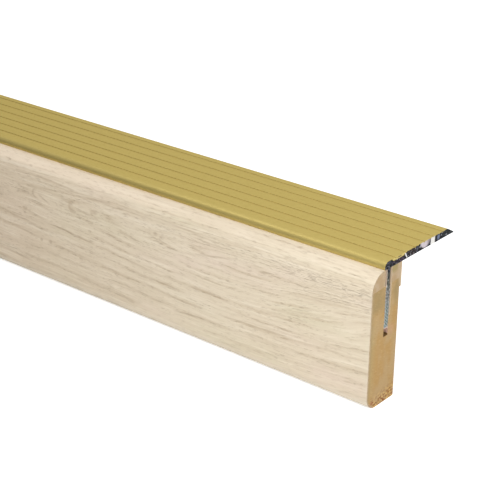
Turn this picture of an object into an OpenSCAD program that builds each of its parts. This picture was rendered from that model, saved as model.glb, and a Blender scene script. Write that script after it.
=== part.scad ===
// Stair nosing for renovated stairs, sold by the length. A grooved aluminium
// plate is pressed by its barbed leg into the slot of a veneered front board.
// The board covers the front of the old tread, the lip behind it rests on the
// tread, and the plate's wing covers the edge of the new floor covering.
// X runs along the stock, +Y points to the tread and +Z up. The origin is below
// the middle, on the plane that the board stands on. Millimetres.

/* [Stock] */
// Length of the stock
stock_len = 900; // [300:10:2700]

/* [Front board] */
// Thickness of the board, core and veneer together
board_t = 15; // [14:0.5:19]
// Height of the board up to the underside of the plate
board_h = 47.4; // [40:0.1:80]
// Radius of the rounding under the plate's nose
top_round = 6.2; // [5:0.1:6.2]
// Radius of the rounding at the front of the bottom edge
bottom_round = 5; // [2:0.5:6]
// Radius of the broken edge at the rear of the bottom
rear_round = 0.3; // [0.2:0.1:1.5]
// Thickness of the oak veneer
veneer_t = 0.6; // [0.4:0.1:1]
// How far the veneer runs back under the bottom rounding
veneer_wrap = 3.5; // [1:0.5:5]

/* [Cap] */
// Height of the cap strip at the front of the board
cap_front_h = 6; // [4:0.1:6.2]
// Height of the cap strip at the rear of the board
cap_rear_h = 5.3; // [4:0.1:6.2]
// How far the cap's lip stands behind the core
lip_out = 0.9; // [0.6:0.1:2]
// Depth of the lip below the plate, the height of the floor covering
lip_drop = 8.5; // [7:0.5:15]
// How far the front cap strip and the veneer over it stop short of the slot
cap_gap = 0.5; // [0:0.1:0.7]
// How far the core is bevelled under the lip
core_bevel = 0.7; // [0.3:0.1:1.5]

/* [Slot] */
// Distance of the slot from the front of the board
slot_front = 7.4; // [7:0.1:7.8]
// Width of the slot where the barbs grip
slot_w = 2.4; // [2.2:0.1:2.8]
// Depth of the slot below the plate
slot_depth = 23.4; // [22:0.1:28]
// Width of the slot's mouth
mouth_w = 3.1; // [2.9:0.1:3.6]
// Depth of the mouth below the plate
mouth_depth = 16.5; // [10:0.5:20]

/* [Nosing plate] */
// Width of the plate from its nose to the tip of its wing
plate_w = 39.6; // [37:0.1:60]
// Thickness of the plate
plate_t = 2.5; // [2.2:0.1:3]
// Distance of the plate's nose from the front of the board
plate_front = 6.3; // [5:0.1:6.5]
// Radius of the nose's upper edge
nose_round = 1.8; // [1:0.1:2]
// Width of the ramp at the tip of the wing
ramp_w = 3.9; // [2:0.1:6]
// Thickness left at the tip of the wing
tip_t = 0.3; // [0.2:0.1:1]

/* [Grooves] */
// Number of grooves that keep a foot from slipping
groove_count = 5; // [2:1:5]
// Distance of the first groove from the front of the board
groove_first = 12.2; // [11:0.1:14]
// Distance from groove to groove
groove_pitch = 5.4; // [4:0.1:5.6]
// Width of a groove
groove_w = 0.4; // [0.3:0.1:1.2]
// Depth of a groove
groove_d = 0.5; // [0.3:0.1:1]

/* [Leg] */
// Length of the leg below the plate
leg_len = 20.7; // [18:0.1:21.5]
// Thickness of the leg between its barbs
leg_t = 1.6; // [1.4:0.1:1.8]
// Number of barbs on each side
barb_count = 12; // [4:1:12]
// Distance from barb to barb
barb_pitch = 1.15; // [0.9:0.05:1.15]
// Height of the plain foot below the barbs
foot_h = 0.7; // [0.5:0.1:1]
// Radius of the fillets where the leg joins the plate
root_fillet = 0.3; // [0.2:0.05:0.35]

/* [Hidden] */

$fn = 64;
past = 1;
depth = plate_front + plate_w;
plate_top = board_h + plate_t;
lip_z = board_h - lip_drop;
bevel_y = board_t - core_bevel;
cap_end = slot_front - cap_gap;
slot_z = board_h - slot_depth;
mouth_z = board_h - mouth_depth;
mouth_rear = slot_front + mouth_w;
leg_mid = slot_front + slot_w / 2;
leg_end = board_h - leg_len;
barb_start = leg_end + foot_h;
barb_reach = slot_w / 2;
rear_shift = barb_pitch / 2;
neck = leg_t / 2;
root = neck + root_fillet;
foot_taper = 0.3;

// Runs a section drawn in (depth, height) along the length of the stock
module run_along() {
    rotate([90, 0, 90])
        linear_extrude(height = stock_len, center = true)
            translate([-depth / 2, 0])
                children();
}

// What a quarter round takes off a corner that lies at the origin
module corner_waste(r) {
    difference() {
        translate([-past, -past]) square(r + past);
        translate([r, r]) circle(r);
    }
}

// The board's section, with its front and top faces moved in by inset
module board_area(inset) {
    difference() {
        translate([inset, 0]) square([board_t - inset, board_h - inset]);
        translate([inset, board_h - inset]) mirror([0, 1])
            corner_waste(top_round - inset);
        // The bottom is taken in at the rounding only
        translate([inset, inset]) corner_waste(bottom_round - inset);
    }
}

// Height of the joint between core and cap, which slopes a little to the front
function joint_z(y) = board_h - cap_front_h + (cap_front_h - cap_rear_h) * y / board_t;

// Everything above the joint, from the front of the board to a distance from it
module above_joint(to_y) {
    polygon([[-past, joint_z(-past)], [to_y, joint_z(to_y)], [to_y, board_h + past], [-past, board_h + past]]);
}

// Stepped slot: a narrow groove for the barbs below a wider mouth
module slot_area() {
    translate([slot_front, slot_z]) square([slot_w, slot_depth + past]);
    translate([slot_front, mouth_z]) square([mouth_w, mouth_depth + past]);
}

// Veneer wrapped round the front, from the bottom rounding to the slot
module veneer_area() {
    difference() {
        board_area(0);
        board_area(veneer_t);
        translate([cap_end, bottom_round]) square([board_t, board_h]);
        translate([veneer_wrap, -past]) square([board_t, bottom_round + 2 * past]);
    }
}

// Core below the cap joint, slotted from above and bevelled under the lip
module core_area() {
    difference() {
        board_area(0);
        veneer_area();
        above_joint(board_t + past);
        slot_area();
        polygon([[board_t, lip_z], [board_t + past, lip_z], [board_t + past, board_h],
                 [bevel_y, board_h], [bevel_y, joint_z(bevel_y)]]);
        translate([board_t, 0]) mirror([1, 0]) corner_waste(rear_round);
    }
}

// Cap strip in front of the slot, under the veneer
module cap_front_area() {
    intersection() {
        board_area(veneer_t);
        above_joint(cap_end);
    }
}

// Cap strip behind the slot, with the lip that hangs over the tread
module cap_rear_area() {
    polygon([[mouth_rear, joint_z(mouth_rear)], [bevel_y, joint_z(bevel_y)], [board_t, lip_z],
             [board_t + lip_out, lip_z], [board_t + lip_out, board_h], [mouth_rear, board_h]]);
}

// One groove in the top of the plate, with a round bottom
module groove_area() {
    r = groove_w / 2;
    translate([-r, plate_top - groove_d + r]) square([groove_w, groove_d]);
    translate([0, plate_top - groove_d + r]) circle(r);
}

// Points of one row of barbs from the bottom up. Each barb slants outwards on the
// way up and ends in a flat shoulder, so the leg goes in but doesn't come out.
function barb_row(side, shift) = [
    for (i = [0 : barb_count - 1])
        for (p = [[neck, 0], [barb_reach, barb_pitch]])
            [leg_mid + side * p[0], barb_start + shift + i * barb_pitch + p[1]]
];

// Points of one side of the leg's neck and root, from the barbs up to the plate
function neck_side(side, shift) = [
    for (p = [[neck, barb_start + shift + barb_count * barb_pitch], [neck, board_h - root_fillet],
              [root, board_h - root_fillet], [root, board_h]])
        [leg_mid + side * p[0], p[1]]
];

function reversed(list) = [for (i = [len(list) - 1 : -1 : 0]) list[i]];

// Plate and leg with sharp corners: up the front of the leg, round the plate and
// down the rear of the leg, where the barbs are half a pitch higher
module sharp_profile_area() {
    polygon(concat(
        [[leg_mid - barb_reach + foot_taper, leg_end], [leg_mid - barb_reach, barb_start]],
        barb_row(-1, 0),
        neck_side(-1, 0),
        [[plate_front, board_h], [plate_front, plate_top], [depth - ramp_w, plate_top]],
        [[depth, board_h + tip_t], [depth, board_h]],
        reversed(neck_side(1, rear_shift)),
        reversed(barb_row(1, rear_shift)),
        [[leg_mid + neck, barb_start], [leg_mid + barb_reach, barb_start]],
        [[leg_mid + barb_reach - foot_taper, leg_end]]
    ));
}

// The extrusion's section, with its rounded nose, root fillets and grooves
module profile_area() {
    difference() {
        sharp_profile_area();
        translate([plate_front, plate_top]) mirror([0, 1]) corner_waste(nose_round);
        for (side = [-1, 1])
            translate([leg_mid + side * root, board_h - root_fillet]) circle(root_fillet);
        for (i = [0 : groove_count - 1])
            translate([groove_first + i * groove_pitch, 0]) groove_area();
    }
}

// Aluminium extrusion: plate and leg in one piece
module nosing_profile() {
    color([0.76, 0.68, 0.38]) run_along() profile_area();
}

module oak_veneer() {
    color([0.9, 0.85, 0.77]) run_along() veneer_area();
}

module core_board() {
    color([0.74, 0.6, 0.42]) run_along() core_area();
}

module cap_front() {
    color([0.8, 0.69, 0.54]) run_along() cap_front_area();
}

module cap_rear() {
    color([0.8, 0.69, 0.54]) run_along() cap_rear_area();
}

nosing_profile();
oak_veneer();
core_board();
cap_front();
cap_rear();
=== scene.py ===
"""Looks of a stair nosing: finer surfaces, finishes, stage, lamps and camera.

X runs along the stock, +Y points to the tread and +Z up. Sections and finishes are
written in millimetres: u is the distance from the near cut end, y the distance behind
the board's front and z the height above its foot.
"""

import math

import bmesh
import bpy
from mathutils import Matrix, Vector
from mathutils.geometry import tessellate_polygon


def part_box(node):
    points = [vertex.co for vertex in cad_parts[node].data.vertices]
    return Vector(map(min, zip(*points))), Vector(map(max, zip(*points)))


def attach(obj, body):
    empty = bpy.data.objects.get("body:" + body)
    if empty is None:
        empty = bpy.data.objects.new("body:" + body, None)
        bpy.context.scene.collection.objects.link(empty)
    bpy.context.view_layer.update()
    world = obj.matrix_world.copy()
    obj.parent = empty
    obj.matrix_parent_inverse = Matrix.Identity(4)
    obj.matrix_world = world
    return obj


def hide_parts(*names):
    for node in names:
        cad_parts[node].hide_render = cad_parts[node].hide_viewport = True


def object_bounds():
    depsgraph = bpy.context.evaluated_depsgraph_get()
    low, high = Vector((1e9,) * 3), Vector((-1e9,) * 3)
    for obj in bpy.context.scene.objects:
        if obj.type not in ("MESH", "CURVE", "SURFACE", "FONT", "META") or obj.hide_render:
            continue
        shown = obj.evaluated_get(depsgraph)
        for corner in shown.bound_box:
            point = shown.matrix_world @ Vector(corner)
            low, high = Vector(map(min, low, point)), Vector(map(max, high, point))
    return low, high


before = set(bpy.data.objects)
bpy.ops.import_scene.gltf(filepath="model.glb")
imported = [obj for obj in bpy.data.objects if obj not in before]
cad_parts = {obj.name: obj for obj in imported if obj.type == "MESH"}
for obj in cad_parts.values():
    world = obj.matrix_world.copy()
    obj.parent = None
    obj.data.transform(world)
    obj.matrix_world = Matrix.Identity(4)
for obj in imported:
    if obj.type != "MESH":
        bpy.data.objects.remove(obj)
CAD_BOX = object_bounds()

MM = 0.001
NEAR_X = CAD_BOX[1].x
FAR_X = CAD_BOX[0].x
FRONT_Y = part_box("oak_veneer")[0].y


def depth_of(node, corner):
    """How far behind the board's front a node starts (corner 0) or ends (corner 1)."""
    return (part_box(node)[corner].y - FRONT_Y) / MM


def height_of(node, corner):
    """How high a node starts (corner 0) or ends (corner 1)."""
    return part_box(node)[corner].z / MM


# Sizes that the solids give
BOARD_T = depth_of("core_board", 1)
BOARD_H = height_of("oak_veneer", 1)
CAP_END = depth_of("oak_veneer", 1)
VENEER_T = depth_of("core_board", 0)
MOUTH_REAR = depth_of("cap_rear", 0)
LIP_REAR = depth_of("cap_rear", 1)
LIP_Z = height_of("cap_rear", 0)
PLATE_FRONT = depth_of("nosing_profile", 0)
PLATE_REAR = depth_of("nosing_profile", 1)
PLATE_TOP = height_of("nosing_profile", 1)
LEG_END = height_of("nosing_profile", 0)

# Sizes of the board
TOP_ROUND = 6.2
BOTTOM_ROUND = 5.0
REAR_ROUND = 0.3
VENEER_WRAP = 3.5
CAP_FRONT_H = 6.0
CAP_REAR_H = 5.3
BEVEL = 0.7
LIP_ROUND = 0.15
MOUTH_ROUND = 0.1
SLOT_FRONT = 7.4
SLOT_W = 2.4
SLOT_DEPTH = 23.4
MOUTH_DEPTH = 16.5
SLOT_REAR = SLOT_FRONT + SLOT_W
SLOT_Z = BOARD_H - SLOT_DEPTH
MOUTH_Z = BOARD_H - MOUTH_DEPTH
BEVEL_Y = BOARD_T - BEVEL

# Sizes of the aluminium section. The solid has five grooves, and the sixth, next to
# the ramp, is made here only
NOSE_ROUND = 1.8
NOSE_EDGE = 0.15
RAMP_W = 3.9
RAMP_ROUND = 2.0
TIP_T = 0.3
TIP_ROUND_LOW = 0.05
TIP_ROUND_HIGH = 0.12
GROOVE_COUNT = 6
GROOVE_FIRST = 12.2
GROOVE_PITCH = 5.4
GROOVE_W = 0.4
GROOVE_D = 0.5
GROOVE_EDGE = 0.18
# The roundings of a groove's bottom nearly meet
GROOVE_ROUND = GROOVE_W / 2 * 0.98
LEG_MID = SLOT_FRONT + SLOT_W / 2
LEG_T = 1.6
BARB_COUNT = 12
BARB_PITCH = 1.15
BARB_REACH = SLOT_W / 2
BARB_ROUND = 0.05
FOOT_H = 0.7
FOOT_TAPER = 0.3
FOOT_ROUND_LOW = 0.15
FOOT_ROUND_HIGH = 0.1
ROOT_FILLET = 0.3

# Camera, fitted to the photograph: its place from the board's near lower front
# corner in metres, the way it looks in degrees, and its lens
CAMERA_FROM_CORNER = Vector((0.20246, -0.307802, 0.218916))
CAMERA_YAW = 129.1462
CAMERA_PITCH = 23.9761
CAMERA_ROLL = 0.7056
LENS_MM = 96.476
SENSOR_MM = 36.0
CLIP_START = 0.01


def near_corner():
    """The board's near lower front corner."""
    return Vector((NEAR_X, FRONT_Y, 0))


def add_camera():
    """A camera at the photograph's place and angle."""
    yaw, pitch, roll = (math.radians(a) for a in (CAMERA_YAW, CAMERA_PITCH, CAMERA_ROLL))
    ahead = Vector((math.cos(yaw) * math.cos(pitch), math.sin(yaw) * math.cos(pitch), -math.sin(pitch)))
    right = Vector((math.sin(yaw), -math.cos(yaw), 0))
    up = right.cross(ahead)
    turned_right = right * math.cos(roll) + up * math.sin(roll)
    turned_up = up * math.cos(roll) - right * math.sin(roll)
    data = bpy.data.cameras.new("camera")
    data.lens = LENS_MM
    data.sensor_width = SENSOR_MM
    data.clip_start = CLIP_START
    camera = bpy.data.objects.new("camera", data)
    turn = Matrix((turned_right, turned_up, -ahead)).transposed().to_4x4()
    camera.matrix_world = Matrix.Translation(near_corner() + CAMERA_FROM_CORNER) @ turn
    bpy.context.scene.collection.objects.link(camera)
    bpy.context.scene.camera = camera


# Sections


def arc(centre, radius, start_deg, end_deg, step_deg=6.0):
    """Points on a circle, from one angle to another, counted from +Y towards +Z."""
    steps = max(2, math.ceil(abs(end_deg - start_deg) / step_deg))
    angles = [math.radians(start_deg + (end_deg - start_deg) * k / steps) for k in range(steps + 1)]
    return [Vector((centre[0] + radius * math.cos(a), centre[1] + radius * math.sin(a))) for a in angles]


def rounded(corners, step_deg=10.0):
    """The points of a closed outline whose corners are (y, z) or (y, z, radius)."""
    points = []
    for i, corner in enumerate(corners):
        here = Vector(corner[:2])
        if len(corner) == 2:
            points.append(here)
            continue
        radius = corner[2]
        before = (Vector(corners[i - 1][:2]) - here).normalized()
        after = (Vector(corners[(i + 1) % len(corners)][:2]) - here).normalized()
        half = before.angle(after) / 2
        centre = here + (before + after).normalized() * radius / math.sin(half)
        start = here + before * radius / math.tan(half) - centre
        end = here + after * radius / math.tan(half) - centre
        sweep = start.angle_signed(end)
        steps = max(2, math.ceil(abs(math.degrees(sweep)) / step_deg))
        points += [centre + Matrix.Rotation(-sweep * k / steps, 2) @ start for k in range(steps + 1)]
    return points


def joint_z(y):
    """Height of the sloping joint between core and cap."""
    return BOARD_H - CAP_FRONT_H + (CAP_FRONT_H - CAP_REAR_H) * y / BOARD_T


BOTTOM_CENTRE = (BOTTOM_ROUND, BOTTOM_ROUND)
TOP_CENTRE = (TOP_ROUND, BOARD_H - TOP_ROUND)
INNER_TOP = TOP_ROUND - VENEER_T
INNER_BOTTOM = BOTTOM_ROUND - VENEER_T
JOINT_DEG = 180 - math.degrees(math.asin((joint_z(VENEER_T) - TOP_CENTRE[1]) / INNER_TOP))


def wrap_deg(radius):
    """Angle on the bottom rounding at which the veneer ends, at a radius."""
    return 180 + math.degrees(math.acos((BOTTOM_ROUND - VENEER_WRAP) / radius))


def veneer_outline():
    """The veneer, up its outer face and down its inner one."""
    outer = arc(BOTTOM_CENTRE, BOTTOM_ROUND, wrap_deg(BOTTOM_ROUND), 180)
    outer += arc(TOP_CENTRE, TOP_ROUND, 180, 90) + [Vector((CAP_END, BOARD_H))]
    inner = [Vector((CAP_END, BOARD_H - VENEER_T))] + arc(TOP_CENTRE, INNER_TOP, 90, 180)
    return outer + inner + arc(BOTTOM_CENTRE, INNER_BOTTOM, 180, wrap_deg(INNER_BOTTOM))


def core_outline():
    """The core, down its front, round the foot, up the rear and through the slot."""
    under_veneer = arc(TOP_CENTRE, INNER_TOP, JOINT_DEG, 180)
    under_veneer += arc(BOTTOM_CENTRE, INNER_BOTTOM, 180, wrap_deg(INNER_BOTTOM))
    foot = arc(BOTTOM_CENTRE, BOTTOM_ROUND, wrap_deg(BOTTOM_ROUND), 270)
    foot += arc((BOARD_T - REAR_ROUND, REAR_ROUND), REAR_ROUND, 270, 360)
    top = [(BOARD_T, LIP_Z), (BEVEL_Y, joint_z(BEVEL_Y)), (MOUTH_REAR, joint_z(MOUTH_REAR))]
    slot = [(MOUTH_REAR, MOUTH_Z), (SLOT_REAR, MOUTH_Z), (SLOT_REAR, SLOT_Z), (SLOT_FRONT, SLOT_Z)]
    return under_veneer + foot + [Vector(p) for p in top + slot + [(SLOT_FRONT, joint_z(SLOT_FRONT))]]


def cap_front_outline():
    """The cap strip in front of the slot, under the veneer's top rounding."""
    end = [Vector((CAP_END, BOARD_H - VENEER_T)), Vector((CAP_END, joint_z(CAP_END)))]
    return arc(TOP_CENTRE, INNER_TOP, JOINT_DEG, 90) + end


def cap_rear_outline():
    """The cap strip behind the slot, with the bevel under its lip."""
    return rounded([
        (MOUTH_REAR, joint_z(MOUTH_REAR)),
        (BEVEL_Y, joint_z(BEVEL_Y)),
        (BOARD_T, LIP_Z),
        (LIP_REAR, LIP_Z, LIP_ROUND),
        (LIP_REAR, BOARD_H, LIP_ROUND),
        (MOUTH_REAR, BOARD_H, MOUTH_ROUND),
    ])


def barb_row(side, shift):
    """Corners of one row of barbs, from the bottom up to the leg's root."""
    neck = LEG_MID + side * LEG_T / 2
    bottom = LEG_END + FOOT_H + shift
    row = []
    for i in range(BARB_COUNT):
        row.append((neck, bottom + i * BARB_PITCH, BARB_ROUND))
        row.append((LEG_MID + side * BARB_REACH, bottom + (i + 1) * BARB_PITCH, BARB_ROUND))
    row.append((neck, bottom + BARB_COUNT * BARB_PITCH, BARB_ROUND))
    row.append((neck, BOARD_H, ROOT_FILLET))
    return row


def groove(middle):
    """Corners of one groove with rounded edges and bottom, from the rear forwards."""
    low, half = PLATE_TOP - GROOVE_D, GROOVE_W / 2
    return [(middle + half, PLATE_TOP, GROOVE_EDGE), (middle + half, low, GROOVE_ROUND),
            (middle - half, low, GROOVE_ROUND), (middle - half, PLATE_TOP, GROOVE_EDGE)]


def profile_outline():
    """The extrusion's section, from its foot up the rear of the leg and round the plate."""
    foot_top = LEG_END + FOOT_H
    foot_reach = BARB_REACH - FOOT_TAPER
    rear_foot = [(LEG_MID + foot_reach, LEG_END, FOOT_ROUND_LOW),
                 (LEG_MID + BARB_REACH, foot_top, FOOT_ROUND_HIGH), (LEG_MID + LEG_T / 2, foot_top)]
    wing = [(PLATE_REAR, BOARD_H, TIP_ROUND_LOW), (PLATE_REAR, BOARD_H + TIP_T, TIP_ROUND_HIGH),
            (PLATE_REAR - RAMP_W, PLATE_TOP, RAMP_ROUND)]
    grooves = []
    for i in reversed(range(GROOVE_COUNT)):
        grooves += groove(GROOVE_FIRST + i * GROOVE_PITCH)
    nose = [(PLATE_FRONT, PLATE_TOP, NOSE_ROUND), (PLATE_FRONT, BOARD_H, NOSE_EDGE)]
    # The lowest barb in front and the foot are one block
    front_row = list(reversed(barb_row(-1, 0)))[:-1]
    front_foot = [(LEG_MID - BARB_REACH, foot_top, FOOT_ROUND_HIGH),
                  (LEG_MID - foot_reach, LEG_END, FOOT_ROUND_LOW)]
    rear = rear_foot + barb_row(1, BARB_PITCH / 2)
    return rounded(rear + wing + grooves + nose + front_row + front_foot)


# Pieces

# Spans along the stock, the angle from which an edge stays sharp, and the distance
# at which two points count as one
STATIONS = 12
SHARP_DEG = 28
SAME_POINT_MM = 1e-4


def run_along(name, outline, side_material, end_material):
    """A closed piece of stock: the outline, run from the far to the near cut end."""
    points = [p for i, p in enumerate(outline) if (p - outline[i - 1]).length > SAME_POINT_MM]
    area = sum(p.x * q.y - q.x * p.y for p, q in zip(points, points[1:] + points[:1]))
    if area < 0:
        points.reverse()
    count = len(points)
    built = bmesh.new()
    rings = []
    for k in range(STATIONS + 1):
        x = FAR_X + (NEAR_X - FAR_X) * k / STATIONS
        rings.append([built.verts.new((x, FRONT_Y + p.x * MM, p.y * MM)) for p in points])
    for ring, after in zip(rings, rings[1:]):
        for i in range(count):
            j = (i + 1) % count
            built.faces.new((ring[i], ring[j], after[j], after[i]))
    for corners in tessellate_polygon([[p.to_3d() for p in points]]):
        for ring in (rings[0], rings[-1]):
            built.faces.new([ring[i] for i in corners]).material_index = 1
    bmesh.ops.recalc_face_normals(built, faces=built.faces)
    mesh = bpy.data.meshes.new(name)
    built.to_mesh(mesh)
    built.free()
    mesh.materials.append(side_material)
    mesh.materials.append(end_material)
    mesh.shade_smooth()
    mesh.set_sharp_from_angle(angle=math.radians(SHARP_DEG))
    piece = bpy.data.objects.new(name, mesh)
    bpy.context.scene.collection.objects.link(piece)
    return piece


def dress(node, outline, side_material, end_material):
    """Puts a finer piece in the place of a node."""
    piece = run_along("dressed_" + node, outline, side_material, end_material)
    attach(piece, "root")
    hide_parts(node)


# Shader formulas


def colour(red, green, blue):
    """A colour as it looks on a screen, 0 to 255, in the linear values of a socket."""
    def linear(c):
        c /= 255
        return c / 12.92 if c <= 0.04045 else ((c + 0.055) / 1.055) ** 2.4
    return (linear(red), linear(green), linear(blue), 1.0)


class Wire:
    """A node's output that can stand in a formula."""

    def __init__(self, finish, socket):
        self.finish = finish
        self.socket = socket

    def __add__(self, other):
        return self.finish.math("ADD", self, other)

    def __radd__(self, other):
        return self.finish.math("ADD", other, self)

    def __sub__(self, other):
        return self.finish.math("SUBTRACT", self, other)

    def __rsub__(self, other):
        return self.finish.math("SUBTRACT", other, self)

    def __mul__(self, other):
        return self.finish.math("MULTIPLY", self, other)

    def __rmul__(self, other):
        return self.finish.math("MULTIPLY", other, self)

    def __truediv__(self, other):
        return self.finish.math("DIVIDE", self, other)

    def __pow__(self, other):
        return self.finish.math("POWER", self, other)


class Nodes:
    """A node tree that is built from formulas."""

    def __init__(self, tree):
        self.tree = tree

    def node(self, kind, inputs, **settings):
        """A new node with its settings made and its inputs fed."""
        made = self.tree.nodes.new(kind)
        for key, value in settings.items():
            setattr(made, key, value)
        for key, value in inputs.items():
            self.feed(made.inputs[key], value)
        return made

    def feed(self, socket, value):
        """Links a wire to a socket, or sets the socket to a constant."""
        if isinstance(value, Wire):
            self.tree.links.new(value.socket, socket)
        else:
            socket.default_value = value

    def math(self, operation, a, b=0.0, c=0.0):
        """The result of one math node."""
        made = self.node("ShaderNodeMath", {0: a, 1: b, 2: c}, operation=operation)
        return Wire(self, made.outputs[0])

    def most(self, a, b):
        """The greater of two values."""
        return self.math("MAXIMUM", a, b)

    def ramp(self, value, start, end, low=0.0, high=1.0, kind="LINEAR"):
        """Goes evenly from low to high while value goes from start to end."""
        inputs = {"Value": value, "From Min": start, "From Max": end, "To Min": low, "To Max": high}
        made = self.node("ShaderNodeMapRange", inputs, interpolation_type=kind)
        return Wire(self, made.outputs["Result"])

    def step(self, value, start, end, low=0.0, high=1.0):
        """Goes smoothly from low to high while value goes from start to end."""
        return self.ramp(value, start, end, low, high, "SMOOTHSTEP")

    def window(self, value, start, end, soft):
        """1 between start and end, and 0 outside, with soft borders."""
        inside = self.step(value, start - soft, start + soft)
        return inside * self.step(value, end - soft, end + soft, 1.0, 0.0)

    def spot(self, a, b, middle, reach, soft=0.5):
        """1 inside an ellipse in the coordinates a and b, and 0 outside."""
        da = (a - middle[0]) / reach[0]
        db = (b - middle[1]) / reach[1]
        return self.step(self.math("SQRT", da * da + db * db), 1.0 - soft, 1.0 + soft, 1.0, 0.0)

    def mix(self, base, other, share):
        """The colour other laid over base, where share is 1."""
        made = self.node("ShaderNodeMix", {0: share, 6: base, 7: other}, data_type="RGBA")
        return Wire(self, made.outputs[2])

    def paint(self, base, *coats):
        """Colours laid over base one after the other, each with its share."""
        for other, share in coats:
            base = self.mix(base, other, share)
        return base


class Finish(Nodes):
    """A material whose colour, roughness and bump are built from formulas in millimetres."""

    def __init__(self, name):
        self.material = bpy.data.materials.new(name)
        self.material.use_nodes = True
        super().__init__(self.material.node_tree)
        self.shader = self.tree.nodes["Principled BSDF"]
        place = self.node("ShaderNodeTexCoord", {}).outputs["Object"]
        split = self.node("ShaderNodeSeparateXYZ", {0: Wire(self, place)}).outputs
        self.u = (NEAR_X - Wire(self, split[0])) / MM
        self.y = (Wire(self, split[1]) - FRONT_Y) / MM
        self.z = Wire(self, split[2]) / MM

    def noise(self, scales, detail=2.0, rough=0.5, at=None, seed=0.0):
        """Noise from 0 to 1 whose lumps are about 1/scale millimetres along u, y and z."""
        a, b, c = at or (self.u, self.y, self.z)
        stretched = {0: a * scales[0] + seed, 1: b * scales[1], 2: c * scales[2]}
        point = Wire(self, self.node("ShaderNodeCombineXYZ", stretched).outputs[0])
        inputs = {"Vector": point, "Scale": 1.0, "Detail": detail, "Roughness": rough}
        return Wire(self, self.node("ShaderNodeTexNoise", inputs).outputs["Fac"])

    def bump(self, height, depth):
        """Relief whose height of 1 stands for depth millimetres."""
        made = self.node("ShaderNodeBump", {"Strength": 1.0, "Distance": depth * MM, "Height": height})
        self.tree.links.new(made.outputs["Normal"], self.shader.inputs["Normal"])

    def clear_from_below(self):
        """Lets a camera under a surface see through it."""
        clear = self.node("ShaderNodeBsdfTransparent", {})
        behind = self.node("ShaderNodeNewGeometry", {}).outputs["Backfacing"]
        chosen = self.node("ShaderNodeMixShader", {0: Wire(self, behind)})
        self.tree.links.new(self.shader.outputs[0], chosen.inputs[1])
        self.tree.links.new(clear.outputs[0], chosen.inputs[2])
        self.tree.links.new(chosen.outputs[0], self.tree.nodes["Material Output"].inputs["Surface"])

    def set(self, **values):
        """Sets or links sockets of the shader, named in small letters with underscores."""
        for key, value in values.items():
            self.feed(self.shader.inputs[key.replace("_", " ").title()], value)


# Finishes. Names that end in U, Y or Z are places along that axis: where a tone starts
# and where it is full, or a band's two borders and how soft they are. A spot is its
# middle and its reach, and shares are the lowest and the highest


# Oak: rings cut lengthwise, so that lines of equal distance from the log's middle
# show as arches that open towards the near end. Heights are on the face laid flat,
# which goes on over the roundings

OAK = colour(223, 209, 185)
OAK_DARK = colour(199, 181, 154)
OAK_PORE = colour(172, 150, 122)
OAK_LIGHT = colour(235, 223, 202)
OAK_PINK = colour(223, 206, 186)
OAK_GREEN = colour(219, 208, 181)
OAK_WARM = colour(218, 199, 174)
# Painted light for the top rounding
OAK_PAINTED_TOP_LIGHT = colour(243, 225, 201)
OAK_IOR = 1.45
OAK_ROUGHNESS = (0.5, 0.62)
OAK_RELIEF = 0.12

# The log's middle: its height, how deep it lies behind the face at the near end, and
# how much deeper half of ARCH_RUN away. Above it the figure is squeezed
ARCH_Z = 36.5
ARCH_NEAR = 6.5
ARCH_GROWTH = 17.5
ARCH_RUN = 620
ARCH_SQUEEZE = 1.4
# One ring lies RING_AT from the middle, and RINGS more pass up to e times as far
RINGS = 7.0
RING_AT = 20.58
# How far the grain strays from its line
WAVES = 1.6
# Below the log's middle the fibres follow the rings by a share
FOLLOW_OFF = (2, -8)
FOLLOW_SHARE = 0.15
# The grain rises towards the near end, most at middle height
RISE_START = 80
RISE_RUN = 640
RISE_LOW_Z = (18, 32)
RISE_LOW_SHARES = (0.42, 0.9)
RISE_HIGH_Z = (33, 43)
# How far the face laid flat goes on over the roundings, downwards below its middle
# and upwards above it
WRAP_STRETCH = 0.57
WRAP_TURN_Z = (23, 25)

# Bands along the face. The top rounding, which faces up, gets painted light: it is paler, and more so away
# from the near end, where the lamps fade. The foot's rounding, which faces the floor, gets painted light
# against its shade
PORE_BAND_Z = (38.5, 43, 1.5)
PAINTED_TOP_LIGHT_Z = (44.2, 47.0)
PAINTED_TOP_LIGHT_U = (20, 190)
PAINTED_TOP_LIGHT_SHARES = (0.2, 0.75)
PAINTED_FOOT_LIGHT_Z = (5, 2)
WARM_U = (130, 330, 60)

# Small dark knots and hooks in the figure: distance from the near end, height and reach
KNOTS = [(157.2, 28.0, 1.1, 0.9), (122.8, 28.1, 0.8, 0.5), (132.4, 36.4, 1.2, 0.8), (120.4, 36.2, 1.6, 0.9),
         (90.2, 36.3, 0.9, 0.6), (87.3, 35.6, 1.0, 0.5), (144, 17.8, 0.9, 0.6), (149, 17.4, 0.7, 0.7)]
HOOKS = [(150.4, 35.6, 2.0, 1.7), (130.6, 35.2, 2.4, 2.2), (118.4, 35.4, 3.0, 1.5)]
# Long dark streaks: distance from the near end and height, at one end and at the other
STREAKS = [(169, 23.9, 150, 22.6), (150, 25.7, 130, 24.4), (132, 24.3, 120, 23.6), (166, 19.2, 149, 17.8),
           (114, 22.5, 88, 21.3), (108, 18.9, 76, 18.1), (96, 15.0, 66, 14.0), (64, 14.4, 32, 16.0),
           (76, 21.2, 54, 20.6), (172, 7.8, 154, 7.2), (131, 35.6, 117, 33.2), (150, 35.6, 143, 33.0),
           (77, 33.0, 54, 37.0), (129, 40.2, 110, 41.8), (150, 42.8, 130, 41.9), (90, 42.6, 66, 41.0),
           (26, 32.0, 8, 34.6), (84, 9.4, 66, 10.8)]
# How thick a streak is to each side in mm, and a hook's line in shares of its reach,
# from where it starts to where it is full. A hook opens over HOOK_OPENING, in shares too
STREAK_HALF = (0.6, 0.1)
HOOK_LINE = (0.4, 0.05)
HOOK_OPENING = (-0.4, 0.4)
KNOT_SOFT = 0.6


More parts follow.
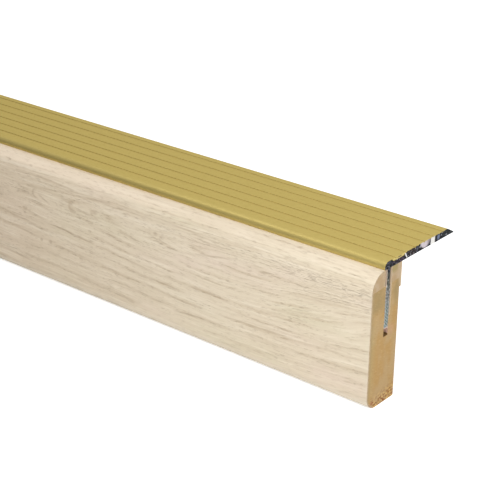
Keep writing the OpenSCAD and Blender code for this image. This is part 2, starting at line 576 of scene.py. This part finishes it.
class OakFigure:
    """Where a point of the veneer lies in the figure of the wood.

    across is its height on the face laid flat, face its coordinates there, and waves
    how far the grain strays. phase counts the rings, as an angle, and along are
    coordinates in which the fibres run straight.
    """

    def __init__(self, f):
        side = f.step(f.z, *WRAP_TURN_Z, -WRAP_STRETCH, WRAP_STRETCH)
        self.across = f.z + f.y * side
        self.face = (f.u, 0.0, self.across)
        self.waves = (f.noise((0.06, 0, 0.2), at=self.face, seed=9) - 0.5) * WAVES
        line = self.across - self.rise(f) + self.waves
        off = line - ARCH_Z
        off = off + f.most(off, 0.0) * ARCH_SQUEEZE
        ring = self.ring(f, off)
        self.phase = f.math("LOGARITHM", ring / RING_AT, math.e) * (RINGS * 2 * math.pi)
        self.along = (f.u, 0.0, line - ring * f.step(off, *FOLLOW_OFF, 0.0, FOLLOW_SHARE))

    def rise(self, f):
        """How far the grain has risen towards the near end."""
        ahead = f.most(RISE_START - f.u, 0.0)
        share = f.step(self.across, *RISE_LOW_Z, *RISE_LOW_SHARES)
        share = share * f.step(self.across, *RISE_HIGH_Z, 1.0, 0.0)
        return ahead * ahead / RISE_RUN * share

    def ring(self, f, off):
        """Distance from the log's middle."""
        depth = ARCH_NEAR + ARCH_GROWTH * (1 - f.math("COSINE", f.u * (2 * math.pi / ARCH_RUN))) / 2
        uneven = f.noise((0.015, 0, 0.06), at=self.face) - 0.5
        return f.math("SQRT", off * off + depth * depth) + uneven


def streak(f, across, start, start_z, end, end_z):
    """A soft line on the face, thinner towards its ends."""
    share = (start - f.u) / (start - end)
    middle = start_z + (end_z - start_z) * share
    taper = f.most(share * (1 - share) * 4, 0.0)
    off = f.math("ABSOLUTE", across - middle)
    return f.step(off, *STREAK_HALF) * taper


def hook(f, across, u, z, reach_u, reach_z):
    """A soft curved line round a point, open towards the near end."""
    ahead = (f.u - u) / reach_u
    above = (across - z) / reach_z
    off = f.math("ABSOLUTE", f.math("SQRT", ahead * ahead + above * above) - 1)
    return f.step(off, *HOOK_LINE) * f.step(ahead, *HOOK_OPENING)


def oak_marks(f, figure, broken):
    """Knots, hooks and streaks at their own places."""
    marks = 0.0
    for u, z, reach_u, reach_z in KNOTS:
        marks = f.most(f.spot(f.u, figure.across, (u, z), (reach_u, reach_z), KNOT_SOFT), marks)
    for place in HOOKS:
        marks = f.most(hook(f, figure.across, *place) * 0.8, marks)
    marks = marks * f.step(f.noise((0.5, 0, 1.2), at=figure.face, seed=7), 0.25, 0.5)
    waved = figure.across + figure.waves * 0.4
    strength = broken * 0.4 + 0.6
    for ends in STREAKS:
        marks = f.most(marks, streak(f, waved, *ends) * strength)
    return marks


def oak_pores(f, figure, broken, band):
    """Short dark pores and finer specks, crowded along the rings and in a band near the top."""
    crowd = f.step(f.noise((0.05, 0, 0.25), at=figure.along, seed=21), 0.45, 0.65)
    early = (f.math("COSINE", figure.phase - 0.5) * 0.5 + 0.5) ** 2.0
    crowd = f.most(crowd * 0.5, early * broken)
    crowd = f.most(crowd, f.window(figure.across, *PORE_BAND_Z) * f.step(band, 0.4, 0.6, 0.2, 0.8))
    pores = f.step(f.noise((0.2, 0, 2.1), detail=1, at=figure.along, seed=17), 0.56, 0.68) * crowd
    specks = f.step(f.noise((0.34, 0, 2.6), detail=1, at=figure.along, seed=25), 0.58, 0.68)
    return f.most(pores * 0.8, specks * (crowd * 0.7 + 0.3))


def limed_oak():
    """The veneer's face: ring lines, fibres, pores and marks in pale oak."""
    f = Finish("limed_oak")
    figure = OakFigure(f)
    broken = f.step(f.noise((0.04, 0, 0.45), at=figure.along, seed=4), 0.36, 0.6)
    broken = broken * f.step(f.noise((0.22, 0, 1.4), detail=1, at=figure.along, seed=11), 0.35, 0.6, 0.45)
    late = (f.math("COSINE", figure.phase) * 0.5 + 0.5) ** 4.0 * broken
    fibre = f.noise((0.05, 0, 1.1), detail=4, rough=0.6, at=figure.along)
    band = f.noise((0.02, 0, 0.3), detail=2, at=figure.along, seed=31)
    cloud = f.noise((0.02, 0, 0.07), at=figure.face, seed=13)
    pores = oak_pores(f, figure, broken, band)
    marks = oak_marks(f, figure, broken)
    shade = f.paint(
        OAK,
        (OAK_PINK, f.step(cloud, 0.5, 0.75)),
        (OAK_GREEN, f.step(cloud, 0.5, 0.25)),
        (OAK_WARM, f.window(f.u, *WARM_U) * 0.7),
        (OAK_DARK, f.step(band, 0.5, 0.3) * 0.3),
        (OAK_LIGHT, f.step(band, 0.52, 0.72) * 0.5),
        (OAK_LIGHT, f.step(fibre, 0.5, 0.7) * 0.6),
        (OAK_DARK, f.step(fibre, 0.5, 0.3) * 0.4),
        (OAK_DARK, late * 0.75),
        # Painted light: the top rounding is paler, more so away from the near end
        (OAK_PAINTED_TOP_LIGHT, f.step(figure.across, *PAINTED_TOP_LIGHT_Z) * f.step(f.u, *PAINTED_TOP_LIGHT_U, *PAINTED_TOP_LIGHT_SHARES)),
        # Painted light: the foot's rounding is paler against its shade
        (OAK_LIGHT, f.step(figure.across, *PAINTED_FOOT_LIGHT_Z) * 0.8),
        (OAK_PORE, pores * 0.45),
        (OAK_PORE, marks * 0.45),
    )
    f.set(base_color=shade, roughness=f.step(fibre, 0.2, 0.8, *OAK_ROUGHNESS))
    f.shader.inputs["IOR"].default_value = OAK_IOR
    f.bump(fibre * 0.2 - pores - late * 0.25 - marks * 0.4, OAK_RELIEF)
    return f.material


# The veneer's cut edge

EDGE_TAN = colour(192, 170, 136)
EDGE_BROWN = colour(170, 146, 112)
EDGE_RED = colour(182, 150, 122)
EDGE_RED_Z = (3.5, 1.5)


def veneer_edge():
    """The veneer's cut edge: tan, with the ends of its fibres, and redder at the foot."""
    f = Finish("veneer_edge")
    grain = f.noise((2, 2, 0.8), detail=3)
    shade = f.paint(
        EDGE_TAN,
        (EDGE_BROWN, f.step(grain, 0.35, 0.7)),
        (EDGE_RED, f.step(f.z, *EDGE_RED_Z) * 0.6),
    )
    f.set(base_color=shade, roughness=0.7)
    return f.material


# Core

CORE_OCHRE = colour(182, 146, 90)
CORE_TAN = colour(184, 154, 108)
CORE_OLIVE = colour(162, 138, 92)
CORE_OLIVE_Z = (34, 42, 2)
CORE_GREY = colour(178, 160, 112)
CORE_GREY_Y = (5, 0.6)
CORE_GREY_Z = (6, 30, 6)
CORE_PINK = colour(196, 152, 118)
CORE_PINK_SPOT = ((11.6, 25.4), (1.8, 1.8))
CORE_FRONT = colour(166, 143, 104)
CORE_FRONT_Y = (2.0, 0.6)
CORE_REAR = colour(176, 152, 118)
CORE_REAR_Y = (13.6, 14.8)
FIBRE_PALE = colour(208, 178, 128)
FIBRE_DARK = colour(162, 124, 72)
GRAIN_DARK = colour(160, 122, 78)
CHIP_BROWN = colour(140, 82, 34)
CHIP_YELLOW = colour(222, 184, 112)
CHIP_RED = colour(150, 74, 62)
CHIP_RED_SPOT = ((2.7, 2.1), (0.8, 0.5))
CHIPS_Z = (6.0, 1.2)
CHIPS_MIDDLE_Y = 8
CHIPS_LEAN = -0.12
CORE_FACE = colour(192, 160, 114)
CORE_FACE_DARK = colour(176, 142, 96)
CORE_FACE_PALE = colour(208, 178, 134)
# Painted light on the walls of the slot and its mouth, and painted shade towards the slot's bottom
SLOT_PAINTED_LIGHT = colour(232, 214, 186)
SLOT_PAINTED_HALF_SHADE = colour(214, 176, 156)
SLOT_PAINTED_HALF_SHADE_Z = (SLOT_Z + 2.4, SLOT_Z + 2.0)
SLOT_PAINTED_SHADE = colour(128, 98, 56)
SLOT_PAINTED_SHADE_Z = (SLOT_Z + 0.8, SLOT_Z + 0.4)
SLOT_MARGIN = 0.2
SLOT_SOFT = 0.1


def core_end():
    """The core's sawn end: fine fibres, ochre to pinkish, with coarse chips at the foot."""
    f = Finish("core_end")
    cloud = f.noise((0.05, 0.16, 0.12), detail=2)
    leaning = (f.u, f.z + f.y * 0.35, f.y - f.z * 0.2)
    fibre = f.noise((0.3, 1.6, 0.5), detail=3, rough=0.6, at=leaning)
    fine = f.noise((3, 3, 3), detail=2)
    chips = f.noise((0.6, 0.8, 1.1), detail=2, rough=0.6, seed=5)
    foot = f.step(f.z + (f.y - CHIPS_MIDDLE_Y) * CHIPS_LEAN, *CHIPS_Z)
    shade = f.paint(
        CORE_OCHRE,
        (CORE_TAN, f.step(cloud, 0.4, 0.62)),
        (CORE_OLIVE, f.window(f.z, *CORE_OLIVE_Z) * f.step(cloud, 0.7, 0.4)),
        (CORE_GREY, f.step(f.y, *CORE_GREY_Y) * f.window(f.z, *CORE_GREY_Z) * 0.5),
        (CORE_PINK, f.spot(f.y, f.z, *CORE_PINK_SPOT, 0.7) * 0.5),
        (CORE_FRONT, f.step(f.y, *CORE_FRONT_Y) * 0.7),
        (CORE_REAR, f.step(f.y, *CORE_REAR_Y) * 0.5),
        (FIBRE_PALE, f.step(fibre, 0.55, 0.75) * 0.45),
        (FIBRE_DARK, f.step(fibre, 0.45, 0.25) * 0.45),
        (GRAIN_DARK, f.step(fine, 0.55, 0.75) * 0.3),
        (CHIP_BROWN, f.step(chips, 0.52, 0.6) * foot),
        (CHIP_YELLOW, f.step(chips, 0.46, 0.38) * foot * 0.8),
        (CHIP_RED, f.spot(f.y, f.z, *CHIP_RED_SPOT, 0.6) * 0.5),
    )
    f.set(base_color=shade, roughness=0.85)
    f.bump(fine * 0.4 + fibre * 0.6 + chips * foot, 0.1)
    return f.material


def core_face():
    """The core's long faces and its slot: bare wood, with painted light on the slot's walls and painted
    shade, pinkish and then brown, towards the slot's bottom.
    """
    f = Finish("core_face")
    mark = f.noise((0.04, 2.2, 2.2), detail=3, rough=0.6)
    fine = f.noise((1.5, 3, 3), detail=2)
    slot = f.window(f.y, SLOT_FRONT - SLOT_MARGIN, MOUTH_REAR + SLOT_MARGIN, SLOT_SOFT)
    slot = slot * f.step(f.z, SLOT_Z - SLOT_MARGIN, SLOT_Z)
    shade = f.paint(
        CORE_FACE,
        (CORE_FACE_DARK, f.step(mark, 0.4, 0.7) * 0.7),
        (CORE_FACE_PALE, f.step(fine, 0.52, 0.72) * 0.4),
        # Painted light on the slot's walls, then painted shade down to its bottom
        (SLOT_PAINTED_LIGHT, slot),
        (SLOT_PAINTED_HALF_SHADE, slot * f.step(f.z, *SLOT_PAINTED_HALF_SHADE_Z)),
        (SLOT_PAINTED_SHADE, slot * f.step(f.z, *SLOT_PAINTED_SHADE_Z)),
    )
    f.set(base_color=shade, roughness=0.8)
    f.bump(mark * 0.5 + fine * 0.5, 0.05)
    return f.material


# Cap strips

CAP_TAN = colour(188, 165, 134)
CAP_BROWN = colour(180, 153, 116)
CAP_PAINTED_SHADE = colour(158, 142, 88)
CAP_PAINTED_SHADE_Y = (9.9, 13.6, 0.7)
CAP_PAINTED_SHADE_Z = (44.3, 46.0)
CAP_DULL = colour(176, 152, 112)
CAP_DULL_Y = (7, 9)
CAP_DULL_Z = (42.8, 41.6)
CAP_STREAK = colour(168, 136, 98)
LIP_PALE = colour(222, 202, 172)
LIP_PALE_Y = (15.0, 15.8)
CAP_FACE = colour(205, 180, 144)
CAP_FACE_DARK = colour(182, 152, 112)


def cap_end():
    """The cap strips' sawn ends: pale wood, with painted shade, greener and darker, at the top of the rear
    one under the plate.
    """
    f = Finish("cap_end")
    cloud = f.noise((0.1, 0.3, 0.3), detail=2, seed=3)
    fibre = f.noise((0.3, 0.7, 2.4), detail=3, rough=0.6)
    shade = f.paint(
        CAP_TAN,
        (CAP_BROWN, f.step(cloud, 0.4, 0.62)),
        # Painted shade under the plate
        (CAP_PAINTED_SHADE, f.window(f.y, *CAP_PAINTED_SHADE_Y) * f.step(f.z, *CAP_PAINTED_SHADE_Z) * 0.8),
        (CAP_DULL, f.step(f.y, *CAP_DULL_Y) * f.step(f.z, *CAP_DULL_Z) * 0.5),
        (CAP_STREAK, f.step(fibre, 0.5, 0.75) * 0.45),
        (LIP_PALE, f.step(f.y, *LIP_PALE_Y) * 0.5),
    )
    f.set(base_color=shade, roughness=0.8)
    f.bump(fibre, 0.06)
    return f.material


def cap_face():
    """The cap strips' long faces: pale wood with straight grain, and painted light on the walls of the
    slot's mouth.
    """
    f = Finish("cap_face")
    grain = f.noise((0.02, 1.8, 1.8), detail=4, rough=0.6)
    mouth_painted_light = f.window(f.y, CAP_END - SLOT_MARGIN, MOUTH_REAR + SLOT_MARGIN, SLOT_SOFT)
    shade = f.paint(
        CAP_FACE,
        (CAP_FACE_DARK, f.step(grain, 0.4, 0.7) * 0.8),
        # Painted light on the mouth's walls
        (SLOT_PAINTED_LIGHT, mouth_painted_light * 0.8),
    )
    f.set(base_color=shade, roughness=0.75)
    f.bump(grain, 0.06)
    return f.material


# Anodised aluminium

GOLD = colour(210, 190, 117)
GOLD_DARK = colour(196, 175, 103)
GOLD_TINT = colour(230, 212, 158)
GOLD_METALLIC = 0.75
GOLD_ROUGHNESS = (0.43, 0.49)
GOLD_SPECULAR = 0.3
LEG_PALE_PAINTED_LIGHT = colour(232, 216, 200)
LEG_PALE_PAINTED_LIGHT_Z = (BOARD_H - 0.2, BOARD_H - 0.3)
LEG_PALE_PAINTED_LIGHT_SOFT = 0.02
LEG_METALLIC_LESS = 0.6


def anodised_gold():
    """The extrusion's faces: satin gold, drawn along, and pale on the hidden leg: partly its bare metal and
    partly painted light in the slot's shade.
    """
    f = Finish("anodised_gold")
    drawn = f.noise((0.01, 3.5, 3.5), detail=3, rough=0.6)
    mottle = f.noise((0.5, 0.6, 0.6), detail=2)
    leg = f.step(f.z, *LEG_PALE_PAINTED_LIGHT_Z) * f.window(f.y, SLOT_FRONT, SLOT_REAR, LEG_PALE_PAINTED_LIGHT_SOFT)
    shade = f.paint(
        GOLD,
        (GOLD_DARK, f.step(drawn, 0.45, 0.75) * 0.35 + f.step(mottle, 0.5, 0.7) * 0.2),
        # Painted light in part: the leg's flanks in the slot are paler
        (LEG_PALE_PAINTED_LIGHT, leg),
    )
    f.set(base_color=shade, metallic=GOLD_METALLIC - leg * LEG_METALLIC_LESS)
    f.set(roughness=f.step(mottle, 0.3, 0.7, *GOLD_ROUGHNESS))
    f.shader.inputs["Specular Tint"].default_value = GOLD_TINT
    f.shader.inputs["Specular IOR Level"].default_value = GOLD_SPECULAR
    f.bump(drawn * 0.7 + mottle * 0.3, 0.02)
    return f.material


# The plate's sawn end

# The sawn end's tones are painted reflections: dark where the torn metal mirrors a dark room, with painted
# highlights, glints and tinted reflections where it mirrors lights
SAWN_PAINTED_DARK_REFLECTION = colour(16, 18, 24)
SAWN_GREY = colour(76, 78, 90)
SAWN_VIOLET = colour(72, 48, 66)
SAWN_VIOLET_Y = (10.5, 16.5, 1.5)
SAWN_BROWN = colour(74, 52, 46)
SAWN_BROWN_Y = (19, 23.5, 1)
SAWN_GREEN = colour(30, 40, 38)
SAWN_GREEN_Y = (37.5, 39.5)
SAWN_BLACK = colour(4, 5, 7)
SAWN_PAINTED_GLINTS = colour(176, 178, 186)
SAWN_PAINTED_BLUE_REFLECTION = colour(128, 140, 170)
SAWN_PAINTED_BLUE_REFLECTION_SPOT = ((36.7, 48.7), (0.7, 0.8))
BOWL_PAINTED_REFLECTION = colour(212, 202, 208)
BOWL_PAINTED_REFLECTION_DARK = colour(150, 140, 142)
BOWL_PAINTED_REFLECTION_DARK_Y = (29, 31.4)
BOWL_PAINTED_REFLECTION_SPOT = ((28.9, 50.1), (2.9, 2.4))
SAWN_PAINTED_HIGHLIGHT = colour(240, 238, 234)
SAWN_PAINTED_HIGHLIGHT_Y = (32.1, 34.5, 0.15)
SLIT_MIDDLE = (17.9, 48.6)
SLIT_LEAN = 0.6
SLIT_WIDTH = (-0.26, 0.26, 0.12)
SLIT_Z = (47.5, 47.8)


def plate_end(f, y, torn, fine):
    """Tones across the plate's sawn end: painted reflections of the torn metal, dark, with painted
    highlights and glints.
    """
    # Painted highlights: a slanted slit near the end's lower edge and a band across the end
    slit = y - SLIT_MIDDLE[0] + (f.z - SLIT_MIDDLE[1]) * SLIT_LEAN
    painted_highlight = f.window(slit, *SLIT_WIDTH) * f.step(f.z, *SLIT_Z)
    painted_highlight = f.most(painted_highlight, f.window(y, *SAWN_PAINTED_HIGHLIGHT_Y))
    return f.paint(
        SAWN_PAINTED_DARK_REFLECTION,
        (SAWN_GREY, f.step(torn, 0.48, 0.6)),
        (SAWN_VIOLET, f.window(y, *SAWN_VIOLET_Y) * f.step(torn, 0.42, 0.56) * 0.8),
        (SAWN_BROWN, f.window(y, *SAWN_BROWN_Y) * f.step(torn, 0.44, 0.56) * 0.8),
        (SAWN_GREEN, f.step(y, *SAWN_GREEN_Y) * 0.7),
        (SAWN_BLACK, f.step(fine, 0.5, 0.6)),
        (SAWN_PAINTED_GLINTS, f.step(fine, 0.42, 0.3) * 0.8),
        (SAWN_PAINTED_BLUE_REFLECTION, f.spot(y, f.z, *SAWN_PAINTED_BLUE_REFLECTION_SPOT, 0.7) * 0.8),
        # Painted reflection in a bowl-shaped patch
        (f.mix(BOWL_PAINTED_REFLECTION, BOWL_PAINTED_REFLECTION_DARK, f.step(y, *BOWL_PAINTED_REFLECTION_DARK_Y)), f.spot(y, f.z, *BOWL_PAINTED_REFLECTION_SPOT, 0.15)),
        (SAWN_PAINTED_HIGHLIGHT, painted_highlight),
    )


# The leg's sawn end

LEG_NECK = colour(92, 92, 80)
LEG_GREY = colour(134, 134, 130)
LEG_GREY_Z = (42.5, 39)
LEG_GREEN = colour(152, 164, 160)
LEG_GREEN_Z = (38, 32)
LEG_DARK = colour(40, 42, 40)
LEG_DARK_Z = (34, 42)
LEG_DARK_SHARES = (0.3, 0.9)
LEG_PAINTED_GLINTS = colour(206, 208, 206)
LEG_PAINTED_PIT_SHADE = colour(34, 36, 36)
LEG_PAINTED_PIT_SHADE_SPOT = ((8.9, 44.1), (0.45, 0.5))
TEETH_PAINTED_SHADE = colour(82, 94, 92)
TEETH_PAINTED_SHADE_Z = (27.3, 35, 0.4)
TEETH_ACROSS = 5.2
LEG_PAINTED_LIGHT_STRIPE = colour(186, 196, 202)
LEG_PAINTED_LIGHT_STRIPE_Y = (8.05, 7.75)
LEG_PAINTED_LIGHT_STRIPE_Z = (28, 36, 3)
LEG_FOOT_PAINTED_LIGHT = colour(226, 190, 178)
LEG_FOOT_PAINTED_LIGHT_Z = (27.3, 26.9)
LEG_GLINT = colour(244, 244, 244)
LEG_GLINT_SPOT = ((7.8, 41.5), (0.25, 0.35))


def leg_end_tones(f, fine):
    """Tones down the leg's sawn end: darker at the neck and pale at the foot, with painted shade in rows
    where the teeth are, a painted light stripe along its front edge, painted light along its bottom edge,
    and painted glints.
    """
    teeth_shade_rows = f.math("SINE", f.z * (2 * math.pi / BARB_PITCH))
    teeth_shade_rows = teeth_shade_rows * f.math("SINE", (f.y - LEG_MID) * TEETH_ACROSS)
    return f.paint(
        LEG_NECK,
        (LEG_GREY, f.step(f.z, *LEG_GREY_Z)),
        (LEG_GREEN, f.step(f.z, *LEG_GREEN_Z)),
        (LEG_DARK, f.step(fine, 0.48, 0.6) * f.step(f.z, *LEG_DARK_Z, *LEG_DARK_SHARES)),
        # Painted glints on the torn metal
        (LEG_PAINTED_GLINTS, f.step(fine, 0.42, 0.3) * 0.7),
        # Painted shade: a dark spot standing for a pit
        (LEG_PAINTED_PIT_SHADE, f.spot(f.y, f.z, *LEG_PAINTED_PIT_SHADE_SPOT, 0.5) * 0.8),
        # Painted shade in rows where the teeth are
        (TEETH_PAINTED_SHADE, f.step(teeth_shade_rows, 0.1, 0.5) * f.window(f.z, *TEETH_PAINTED_SHADE_Z)),
        # Painted light: a stripe along the leg's front edge
        (LEG_PAINTED_LIGHT_STRIPE, f.step(f.y, *LEG_PAINTED_LIGHT_STRIPE_Y) * f.window(f.z, *LEG_PAINTED_LIGHT_STRIPE_Z) * 0.4),
        # Painted light along the leg's bottom edge
        (LEG_FOOT_PAINTED_LIGHT, f.step(f.z, *LEG_FOOT_PAINTED_LIGHT_Z) * 0.7),
        (LEG_GLINT, f.spot(f.y, f.z, *LEG_GLINT_SPOT, 0.5)),
    )


# The whole sawn end. The far one has the same tones, moved along the plate

FAR_END_U = (400, 500)
FAR_END_SHIFT = 7
LEG_TONES_Z = (46.4, 45.2)
TORN_FRONT_Y = (10.6, 17.0, 0.7)
TORN_FRONT = 0.75
TORN_RAGGED = 0.5
TORN_LEAST = 0.05
TORN_SOFT = 0.1
GOLD_START_Y = (9.6, 10.4)
GOLD_END_Y = (42.5, 41)
PAINTED_SHADOW_SLIVER_SPOT = ((14.2, PLATE_TOP - 0.35), (1.2, 0.14))


def sawn_aluminium():
    """The extrusion's sawn end, with the gold finish torn down over its upper edge."""
    f = Finish("sawn_aluminium")
    y = f.y + f.step(f.u, *FAR_END_U) * FAR_END_SHIFT
    torn = f.noise((0.5, 0.8, 0.8), detail=3, rough=0.6)
    fine = f.noise((1, 1.1, 1.3), detail=2, rough=0.6)
    ragged = f.noise((0.5, 1.2, 0), detail=3, rough=0.7, seed=8)
    torn_down = f.window(y, *TORN_FRONT_Y) * TORN_FRONT
    torn_down = torn_down + f.step(ragged, 0.45, 0.75) * TORN_RAGGED + TORN_LEAST
    gold = f.step(f.z - (PLATE_TOP - torn_down), -TORN_SOFT, TORN_SOFT)
    gold = gold * f.step(y, *GOLD_START_Y) * f.step(y, *GOLD_END_Y)
    # Painted shadow: a thin dark line under the top edge, where the gold is left off
    painted_shadow_sliver = f.spot(y, f.z, *PAINTED_SHADOW_SLIVER_SPOT, 0.4)
    shade = f.paint(
        plate_end(f, y, torn, fine),
        (leg_end_tones(f, fine), f.step(f.z, *LEG_TONES_Z)),
        (GOLD, gold * (1 - painted_shadow_sliver)),
    )
    f.set(base_color=shade, metallic=0.3, roughness=0.45)
    f.shader.inputs["Specular IOR Level"].default_value = 0.1
    f.bump(torn, 0.1)
    return f.material


# Stage. Gloss sees a room whose level rises evenly towards BACKDROP_SIDE, from
# ROOM_LEVEL at ROOM_EDGE to BACKDROP_LEVEL at BACKDROP_EDGE, and a floor whose grey
# in gloss is a painted pool of light, pale towards the near end and dark away from it.
# A lamp is its place from the near corner and its watts

AMBIENT = 0.68
BACKDROP_SIDE = (0.55, 0.7, 0.6)
BACKDROP_EDGE = 0.8
BACKDROP_LEVEL = 0.98
ROOM_EDGE = -0.85
ROOM_LEVEL = 0.12
WHITE = (1, 1, 1, 1)
FLOOR_REACH = 20.0
FLOOR_GREY = 0.9
FLOOR_GLOW = 0.6
FLOOR_PAINTED_LIGHT_MIRRORED = (0.15, 1.0)
FLOOR_PAINTED_LIGHT_U = (200, 80)
FRONT_LAMP = (Vector((0.02, -0.16, 0.2)), 0.18)
SIDE_LAMP = (Vector((0.2, -0.07, 0.17)), 0.21)
NOSE_LAMP = (Vector((-0.16, -0.03, 0.24)), 0.04)
LAMP_AIM = Vector((-0.02, 0.01, 0.03))
LAMP_SIZE = 0.12


def add_floor():
    """A white floor that keeps shadows and is clear when seen from below."""
    corners = [(x * FLOOR_REACH, y * FLOOR_REACH, 0) for x, y in ((-1, -1), (1, -1), (1, 1), (-1, 1))]
    mesh = bpy.data.meshes.new("floor")
    mesh.from_pydata(corners, [], [(0, 1, 2, 3)])
    floor = bpy.data.objects.new("floor", mesh)
    bpy.context.scene.collection.objects.link(floor)
    f = Finish("floor_white")
    rays = f.node("ShaderNodeLightPath", {}).outputs
    # Painted light: in gloss, the floor's grey is a pale pool near the near end
    mirrored = f.ramp(f.u, *FLOOR_PAINTED_LIGHT_U, *FLOOR_PAINTED_LIGHT_MIRRORED)
    grey = FLOOR_GREY + (mirrored - FLOOR_GREY) * Wire(f, rays["Is Glossy Ray"])
    f.set(base_color=grey, roughness=1.0, emission_color=WHITE)
    f.set(emission_strength=Wire(f, rays["Is Camera Ray"]) * FLOOR_GLOW)
    f.shader.inputs["Specular IOR Level"].default_value = 0.0
    f.clear_from_below()
    mesh.materials.append(f.material)


def add_world():
    """A plain level of light, with a white backdrop behind the object for camera and gloss."""
    world = bpy.data.worlds.new("world")
    world.use_nodes = True
    f = Nodes(world.node_tree)
    rays = f.node("ShaderNodeLightPath", {}).outputs
    toward = f.node("ShaderNodeTexCoord", {}).outputs["Generated"]
    split = f.node("ShaderNodeSeparateXYZ", {0: Wire(f, toward)}).outputs
    facing = 0.0
    for axis, share in zip("XYZ", BACKDROP_SIDE):
        facing = Wire(f, split[axis]) * share + facing
    backdrop = f.ramp(facing, ROOM_EDGE, BACKDROP_EDGE, ROOM_LEVEL, BACKDROP_LEVEL)
    mirrored = f.most(Wire(f, rays["Is Glossy Ray"]), Wire(f, rays["Is Transmission Ray"]))
    level = AMBIENT + (backdrop - AMBIENT) * mirrored
    sky = world.node_tree.nodes["Background"]
    sky.inputs["Color"].default_value = WHITE
    f.feed(sky.inputs["Strength"], f.most(level, Wire(f, rays["Is Camera Ray"])))
    bpy.context.scene.world = world


def add_lamp(name, from_corner, watts):
    """A soft lamp close to the stock, so that its light fades along it."""
    data = bpy.data.lights.new(name, "AREA")
    data.shape = "DISK"
    data.size = LAMP_SIZE
    data.energy = watts
    lamp = bpy.data.objects.new(name, data)
    lamp.visible_camera = False
    lamp.location = near_corner() + from_corner
    toward = near_corner() + LAMP_AIM - lamp.location
    lamp.rotation_mode = "QUATERNION"
    lamp.rotation_quaternion = toward.to_track_quat("-Z", "Y")
    bpy.context.scene.collection.objects.link(lamp)


add_camera()
cap_side = cap_face()
cap_cut = cap_end()
dress("nosing_profile", profile_outline(), anodised_gold(), sawn_aluminium())
dress("oak_veneer", veneer_outline(), limed_oak(), veneer_edge())
dress("core_board", core_outline(), core_face(), core_end())
dress("cap_front", cap_front_outline(), cap_side, cap_cut)
dress("cap_rear", cap_rear_outline(), cap_side, cap_cut)
add_floor()
add_world()
add_lamp("front_lamp", *FRONT_LAMP)
add_lamp("side_lamp", *SIDE_LAMP)
add_lamp("nose_lamp", *NOSE_LAMP)
bpy.context.scene.view_settings.view_transform = "Standard"
